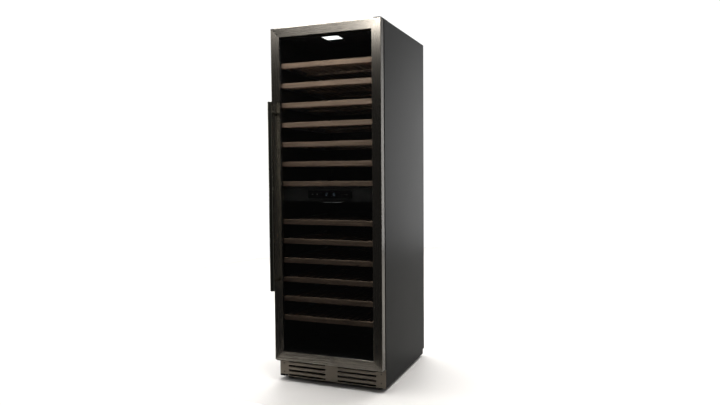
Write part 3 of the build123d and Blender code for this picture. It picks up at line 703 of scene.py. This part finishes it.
class MakeInterior(bpy.types.Operator):
    """Finish the liners, the divider, the ducts and the runners"""

    bl_idname = "wine_cooler.make_interior"
    bl_label = "Liners and ducts"

    def execute(self, context):
        for node in ("upper_liner", "lower_liner", "zone_divider", "duct_covers"):
            coat(node, "liner_plastic")
        coat("shelf_runners", "zinc_plate")
        coat("evaporators", "finned_aluminium")
        return {"FINISHED"}


class MakeShelves(bpy.types.Operator):
    """Grain the shelf fronts and battens across, the slats lengthwise, and plate the rails"""

    bl_idname = "wine_cooler.make_shelves"
    bl_label = "Shelves"
    FRONT_DEPTH = 0.0205
    RAIL_WIDTH = 0.0186
    SLAT_DEPTH = 0.0141

    def execute(self, context):
        for node in SHELVES:
            low, high = box_corners(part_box(node))

            def choose(centre, low=low, high=high):
                """The front and the battens run across; the slats lie above the battens."""
                if centre.y < low.y + self.FRONT_DEPTH:
                    return 0
                if abs(centre.x) > high.x - self.RAIL_WIDTH:
                    return 2
                return 0 if centre.z < high.z - self.SLAT_DEPTH else 1

            coat(node, "wood_across", "wood_lengthwise", "zinc_plate", choose=choose)
        return {"FINISHED"}


class MakeLamps(bpy.types.Operator):
    """Light the ceiling lamp of each zone"""

    bl_idname = "wine_cooler.make_lamps"
    bl_label = "Lamps"

    def execute(self, context):
        coat("lamp_housings", "liner_plastic")
        low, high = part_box("lamp_lenses")
        middle = (low[2] + high[2]) / 2
        coat("lamp_lenses", "lit_lens", "dimmed_lens", choose=lambda centre: int(centre.z < middle))
        return {"FINISHED"}


class MakeControls(bpy.types.Operator):
    """Gloss the control panel and add its temperature digits and button marks"""

    bl_idname = "wine_cooler.make_controls"
    bl_label = "Controls"
    DISPLAY_REACH = 0.0421
    DISPLAY_MARGIN = 0.0079
    DISPLAY_DEPTH = 0.004
    DIGIT_LIFT = 0.0001
    ZONE_OFFSET = 0.021
    MARK_LIFT = 0.00005
    SEGMENTS = {"1": "bc", "2": "abged", "6": "acdefg"}
    EDGES = {
        "a": ((0, 1), (1, 1)), "b": ((1, 1), (1, 0.5)), "c": ((1, 0.5), (1, 0)), "d": ((0, 0), (1, 0)),
        "e": ((0, 0.5), (0, 0)), "f": ((0, 1), (0, 0.5)), "g": ((0, 0.5), (1, 0.5)),
    }

    def execute(self, context):
        low, high = box_corners(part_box("control_panel"))
        bottom, top = low.z + self.DISPLAY_MARGIN, high.z - self.DISPLAY_MARGIN

        def choose(centre):
            shown = abs(centre.x) < self.DISPLAY_REACH and centre.y < high.y - self.DISPLAY_DEPTH
            return int(shown and bottom < centre.z < top)

        coat("control_panel", "panel_gloss", "display_glass", choose=choose)
        for node in BUTTONS:
            coat(node, "panel_gloss")
        self.digits(low, high)
        self.icons()
        return {"FINISHED"}

    def digits(self, low, high):
        """Set temperatures of the upper and the lower zone, as seven-segment figures."""
        tall = sizes().digit_height
        wide, stroke = tall * 0.5, tall * 0.12
        foot = (low.z + high.z) / 2 - tall / 2
        face = low.y - self.DIGIT_LIFT
        parts = []
        for text, centre in (("12", -self.ZONE_OFFSET), ("16", self.ZONE_OFFSET)):
            for place, figure in enumerate(text):
                left = centre + (place - 1) * wide * 1.6 + wide * 0.3
                for key in self.SEGMENTS[figure]:
                    start, end = (
                        Vector((left + u * wide, face, foot + v * tall)) for u, v in self.EDGES[key])
                    gap = (end - start).normalized() * stroke * 0.7
                    parts.append(ribbon([start + gap, end - gap], False, stroke, sizes().mark_relief))
        new_piece("temperature_digits", joined(parts), CABINET, "display_light")

    def icons(self):
        """A mark on each button: power, light, warmer and cooler."""
        size = sizes().icon_size / 2
        stroke = size * 0.28
        circle = self.clockwise(0.0)[:-1]
        arc = [place * size for place in self.clockwise(POWER_ICON_GAP)]
        disc = [place * size * 0.5 for place in circle]
        rays = [[place * size * 0.8, place * size * 1.2] for place in circle[::3]]
        up = [Vector((-size, 0, -size / 2)), Vector((0, 0, size / 2)), Vector((size, 0, -size / 2))]
        marks = {
            "power_button": [(arc, False), ([circle[0] * size * 0.2, circle[0] * size * 1.15], False)],
            "light_button": [(disc, True)] + [(ray, False) for ray in rays],
            "warmer_button": [(up, False)],
            "cooler_button": [([Vector((place.x, 0, -place.z)) for place in up], False)],
        }
        for node, lines in marks.items():
            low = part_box(node)[0]
            face = middle_of(node)
            face.y = low[1] - self.MARK_LIFT
            parts = [ribbon([place + face for place in line], closed, stroke, sizes().mark_relief)
                     for line, closed in lines]
            new_piece(node.replace("button", "mark"), joined(parts), node, "printed_mark")

    @staticmethod
    def clockwise(gap, steps=24):
        """Points of a unit circle from the top round, short of the top by an angle on each side."""
        turns = [gap + (2 * math.pi - 2 * gap) * step / steps for step in range(steps + 1)]
        return [Vector((math.sin(turn), 0, math.cos(turn))) for turn in turns]


class MakePlinth(bpy.types.Operator):
    """Brush the plinth and its louvres"""

    bl_idname = "wine_cooler.make_plinth"
    bl_label = "Plinth"

    def execute(self, context):
        # The plinth's darker colour holds painted shade and a painted reflection of the floor.
        coat("plinth_grille", "plinth_steel")
        return {"FINISHED"}


class MakeFeet(bpy.types.Operator):
    """Mould the feet's pads and plate their stems"""

    bl_idname = "wine_cooler.make_feet"
    bl_label = "Levelling feet"
    PAD_HEIGHT = 0.0112

    def execute(self, context):
        for node in FEET:
            pad_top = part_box(node)[0][2] + self.PAD_HEIGHT
            coat(node, "foot_pad", "zinc_plate", choose=lambda centre, top=pad_top: int(centre.z > top))
        return {"FINISHED"}


# ---- operators: cooling machine
class MakeMachine(bpy.types.Operator):
    """Finish the compressor bay and add the fan guards"""

    bl_idname = "wine_cooler.make_machine"
    bl_label = "Cooling machine"
    GUARD_GAP = 0.008
    GUARD_SPOKES = 4

    def execute(self, context):
        coat("compressor", "compressor_enamel")
        coat("compressor_mounts", "soft_rubber")
        coat("condenser_coil", "finned_aluminium")
        coat("drip_tray", "tray_plastic")
        coat("refrigerant_pipes", "copper_pipe")
        coat("fan_frames", "fan_plastic")
        for node in ROTORS:
            coat(node, "fan_plastic")
        self.fan_guards()
        return {"FINISHED"}

    def fan_guards(self):
        """Wire rings and spokes on the inlet side of the condenser fan."""
        low, high = box_corners(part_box("condenser_fan_rotor"))
        reach = (high.x - low.x) / 2
        face = (low + high) / 2
        face.y = low.y - self.GUARD_GAP
        wire, rings = sizes().guard_wire, sizes().guard_rings
        parts = [ring_tube(face, reach * (ring + 1) / rings, wire) for ring in range(rings)]
        for spoke in range(self.GUARD_SPOKES):
            angle = math.pi / 4 + 2 * math.pi * spoke / self.GUARD_SPOKES
            outward = Vector((math.cos(angle), 0, math.sin(angle)))
            root = face - Vector((0, 2 * wire, 0))
            parts.append(straight_tube(root + outward * reach / rings, root + outward * reach * 1.2, wire))
        new_piece("condenser_fan_guard", joined(parts), CABINET, "wire_metal",
                  smooth=math.radians(60))


# ---- operators: door
class MakeDoorFrame(bpy.types.Operator):
    """Brush each member of the door frame along its length"""

    bl_idname = "wine_cooler.make_door_frame"
    bl_label = "Door frame"
    FOLD_DEPTH = 0.002

    def execute(self, context):
        low, high = box_corners(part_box("door_frame"))

        def choose(centre):
            """Rails are nearer to the top or bottom than to a side; folded edges lie behind the face."""
            aside = min(centre.x - low.x, high.x - centre.x)
            upright = min(centre.z - low.z, high.z - centre.z)
            return int(aside < upright) + 2 * int(centre.y > low.y + self.FOLD_DEPTH)

        # The folded edges get the darker rim steel, which is painted shade on the same sheet.
        members = ("stainless_across", "stainless_upright", "rim_across", "rim_upright")
        coat("door_frame", *members, choose=choose)
        coat("door_inner_frame", "liner_plastic")
        coat("hinge_bushes", "bush_nylon")
        return {"FINISHED"}


class MakeGlazing(bpy.types.Operator):
    """Tint the outer pane and finish the inner pane and the spacer"""

    bl_idname = "wine_cooler.make_glazing"
    bl_label = "Glazing"

    def execute(self, context):
        coat("outer_glass", "tinted_pane")
        coat("inner_glass", "clear_pane")
        coat("glass_spacer", "spacer_metal")
        return {"FINISHED"}


class MakeGasket(bpy.types.Operator):
    """Sweep the gasket's bellows profile round the door in place of its plain solids"""

    bl_idname = "wine_cooler.make_gasket"
    bl_label = "Door gasket"
    WIDTH = 0.0145
    FOOT = 0.0022
    CHAMBER = 0.0045

    def execute(self, context):
        low, high = box_corners(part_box("door_gasket"))
        profile = self.profile(high.y - low.y, sizes().gasket_pleats)
        corners = [(-1, -1), (1, -1), (1, 1), (-1, 1)]
        middle = (low + high) / 2
        half_x, half_z = (high.x - low.x) / 2, (high.z - low.z) / 2
        points = [
            Vector((middle.x + x * (half_x - inset), low.y + depth, middle.z + z * (half_z - inset)))
            for x, z in corners
            for inset, depth in profile
        ]
        count = len(profile)
        faces = []
        for corner in range(4):
            start, end = corner * count, (corner + 1) % 4 * count
            for index in range(count):
                following = (index + 1) % count
                faces.append((start + index, start + following, end + following, end + index))
        piece = new_piece("gasket_seal", (points, faces), DOOR, "soft_rubber",
                          smooth=math.radians(40))
        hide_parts("door_gasket")
        return {"FINISHED"}

    def profile(self, depth, pleats):
        """Section from the foot, up the bellows, round the magnet chamber and back, as (inset, level)."""
        half = [(0.0, 0.0), (0.0, self.FOOT * 0.6), (0.0025, self.FOOT)]
        rise = (depth - self.FOOT - self.CHAMBER) / (2 * pleats)
        for fold in range(2 * pleats):
            half.append((0.0045 if fold % 2 else 0.0022, self.FOOT + rise * (fold + 0.5)))
        top = depth - self.CHAMBER
        half += [(0.0012, top), (0.0008, top + 0.0012), (0.0008, depth - 0.0008), (0.0016, depth)]
        return half + [(self.WIDTH - inset, level) for inset, level in reversed(half)]


class MakeHandle(bpy.types.Operator):
    """Finish the handle bar and its posts"""

    bl_idname = "wine_cooler.make_handle"
    bl_label = "Handle"

    def execute(self, context):
        for node in ("handle_bar", "handle_posts"):
            coat(node, "handle_metal")
        return {"FINISHED"}


class MakeHinges(bpy.types.Operator):
    """Paint the hinge plates and the door's rest plate"""

    bl_idname = "wine_cooler.make_hinges"
    bl_label = "Hinges"

    def execute(self, context):
        coat("hinge_brackets", "hinge_paint")
        coat("door_rest_plate", "hinge_paint")
        return {"FINISHED"}


# ---- operator: stage
class MakeStage(bpy.types.Operator):
    """Lay the pale floor and set the soft lights and the camera"""

    bl_idname = "wine_cooler.make_stage"
    bl_label = "Stage"

    def execute(self, context):
        settings = stage_settings()
        self.floor(settings)
        self.world(context.scene, settings)
        self.key(settings.key_power)
        self.softbox("front_softbox", settings.front_power,
                     place=(-0.05, -0.64, 2.35), target=(0.0, -0.5, 0.3), size=(1.15, 0.36))
        strip = self.softbox("strip_softbox", settings.strip_power,
                             place=(-0.5, -3.1, 2.56), target=(0.2, -0.3, 1.8), size=(0.6, 0.12))
        strip.visible_diffuse = False
        shelf_light = self.softbox("shelf_softbox", settings.shelf_power,
                                   place=(0.1, -3.0, 3.0), target=(0.0, -0.25, 1.75), size=(0.4, 0.4))
        shelf_light.visible_glossy = False
        shelf_light.data.spread = math.radians(26)
        self.softbox("side_softbox", settings.side_power,
                     place=(-3.4, 0.6, 2.0), target=(0.0, 0.1, 0.9), size=(2.0, 2.6))
        self.softbox("floor_softbox", settings.floor_power,
                     place=(0.0, 3.2, 4.2), target=(0.0, 2.2, 0.0), size=(7.0, 4.0))
        self.camera(context.scene, settings)
        context.scene.view_settings.view_transform = "Standard"
        return {"FINISHED"}

    def floor(self, settings):
        radius, steps = settings.floor_radius, 128
        face_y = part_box("door_frame")[0][1]
        middle_y = face_y - settings.floor_reach + radius
        angles = [2 * math.pi * step / steps for step in range(steps)]
        rim = [(radius * math.cos(turn), middle_y + radius * math.sin(turn), 0) for turn in angles]
        mesh = mesh_from("floor", rim, [tuple(range(steps))])
        material, tree, shader, place = new_material()
        material.name = "pale_floor"
        smears = wiped(tree, place, 0.42, 0.1, 1.5)
        sight = add(tree, "LightPath").outputs["Is Camera Ray"]
        # Painted shade: reflections and bounce light see the darker floor colour, while the camera sees the
        # pale one.
        tone = mix(tree, sight, settings.floor_shade_in_bounce, settings.floor_colour)
        set_inputs(tree, shader, {"Base Color": tone, "Roughness": smears.outputs["Roughness"]})
        mesh.materials.append(material)
        floor = bpy.data.objects.new("floor", mesh)
        bpy.context.scene.collection.objects.link(floor)

    def world(self, scene, settings):
        """White studio behind the cooler and above it, dark in front, as a softly lit set."""
        world = bpy.data.worlds.new("studio")
        scene.world = world
        world.use_nodes = True
        tree = world.node_tree
        tree.nodes.clear()
        direction = add(tree, "SeparateXYZ", {0: add(tree, "TexCoord").outputs["Generated"]})
        depth = plus(tree, times(tree, direction.outputs["Y"], 0.5), 0.5)
        behind = ramp(tree, depth, (0.2, 0.0), (0.5, 0.04), (0.93, 0.045), (0.974, 0.05), (0.989, 1.0))
        above = ramp(tree, direction.outputs["Z"], (0.25, 0.0), (0.95, 1.0))
        level = plus(tree, times(tree, behind, settings.rear_light), settings.front_light)
        level = plus(tree, level, times(tree, above, settings.overhead_light))
        lit = add(tree, "Background", {"Color": (1, 1, 1, 1), "Strength": level}).outputs[0]
        seen = add(tree, "Background", {
            "Color": opaque(settings.backdrop), "Strength": settings.backdrop_light}).outputs[0]
        sight = add(tree, "LightPath").outputs["Is Camera Ray"]
        chosen = add(tree, "MixShader", {0: sight, 1: lit, 2: seen}).outputs[0]
        add(tree, "OutputWorld", {"Surface": chosen})

    def key(self, power):
        """Round lamp high on the left, with a soft cone on the door's upper right corner."""
        lamp = bpy.data.lights.new("key_lamp", "SPOT")
        lamp.shadow_soft_size = 0.12
        lamp.spot_size = math.radians(50)
        lamp.spot_blend = 1.0
        self.hang(lamp, power, place=(-0.68, -3.28, 2.73), target=(0.15, -0.3, 2.15))

    def softbox(self, name, power, place, target, size):
        """Rectangular lamp that points at its target; returns its object."""
        lamp = bpy.data.lights.new(name, "AREA")
        lamp.shape = "RECTANGLE"
        lamp.size, lamp.size_y = size
        return self.hang(lamp, power, place, target)

    @staticmethod
    def hang(lamp, power, place, target):
        """Sets a lamp in its place, out of the camera's sight."""
        lamp.energy = power
        holder = bpy.data.objects.new(lamp.name, lamp)
        holder.location = place
        holder.rotation_euler = (Vector(target) - Vector(place)).to_track_quat("-Z", "Y").to_euler()
        holder.visible_camera = False
        bpy.context.scene.collection.objects.link(holder)
        return holder

    def camera(self, scene, settings):
        pan, tilt, roll = settings.camera_heading
        forward = Vector((math.sin(pan) * math.cos(tilt), math.cos(pan) * math.cos(tilt), math.sin(tilt)))
        level = Vector((math.cos(pan), -math.sin(pan), 0))
        upright = level.cross(forward)
        across = level * math.cos(roll) + upright * math.sin(roll)
        upward = upright * math.cos(roll) - level * math.sin(roll)
        lens = bpy.data.cameras.new("camera")
        lens.lens = settings.lens
        lens.shift_x, lens.shift_y = settings.camera_shift
        holder = bpy.data.objects.new("camera", lens)
        turn = Matrix((across, upward, -forward)).transposed().to_4x4()
        holder.matrix_world = Matrix.Translation(settings.camera_place) @ turn
        scene.collection.objects.link(holder)
        scene.camera = holder


# ---- panel and registration
PIECES = (
    MakeCabinetShell, MakeInterior, MakeShelves, MakeLamps, MakeControls, MakePlinth, MakeFeet, MakeMachine,
    MakeDoorFrame, MakeGlazing, MakeGasket, MakeHandle, MakeHinges, MakeStage,
)


class CoolerPanel(bpy.types.Panel):
    """Lists the cooler's pieces and settings"""

    bl_idname = "VIEW3D_PT_wine_cooler"
    bl_label = "Wine cooler"
    bl_space_type = "VIEW_3D"
    bl_region_type = "UI"
    bl_category = "Wine cooler"

    def draw(self, context):
        layout = self.layout
        for operator in PIECES:
            layout.operator(operator.bl_idname)
        for settings in (finishes(), sizes(), stage_settings()):
            box = layout.box()
            for name in settings.bl_rna.properties.keys():
                if name not in ("rna_type", "name"):
                    box.prop(settings, name)


SETTINGS = (CoolerFinishes, CoolerSizes, CoolerStage)


def register():
    for kind in SETTINGS + PIECES + (CoolerPanel,):
        bpy.utils.register_class(kind)
    bpy.types.Scene.wine_cooler_finishes = bpy.props.PointerProperty(type=CoolerFinishes)
    bpy.types.Scene.wine_cooler_sizes = bpy.props.PointerProperty(type=CoolerSizes)
    bpy.types.Scene.wine_cooler_stage = bpy.props.PointerProperty(type=CoolerStage)


def unregister():
    for name in ("wine_cooler_finishes", "wine_cooler_sizes", "wine_cooler_stage"):
        delattr(bpy.types.Scene, name)
    for kind in reversed(SETTINGS + PIECES + (CoolerPanel,)):
        bpy.utils.unregister_class(kind)


def main():
    register()
    for operator in PIECES:
        group, name = operator.bl_idname.split(".")
        getattr(getattr(bpy.ops, group), name)()


if __name__ == "__main__":
    main()
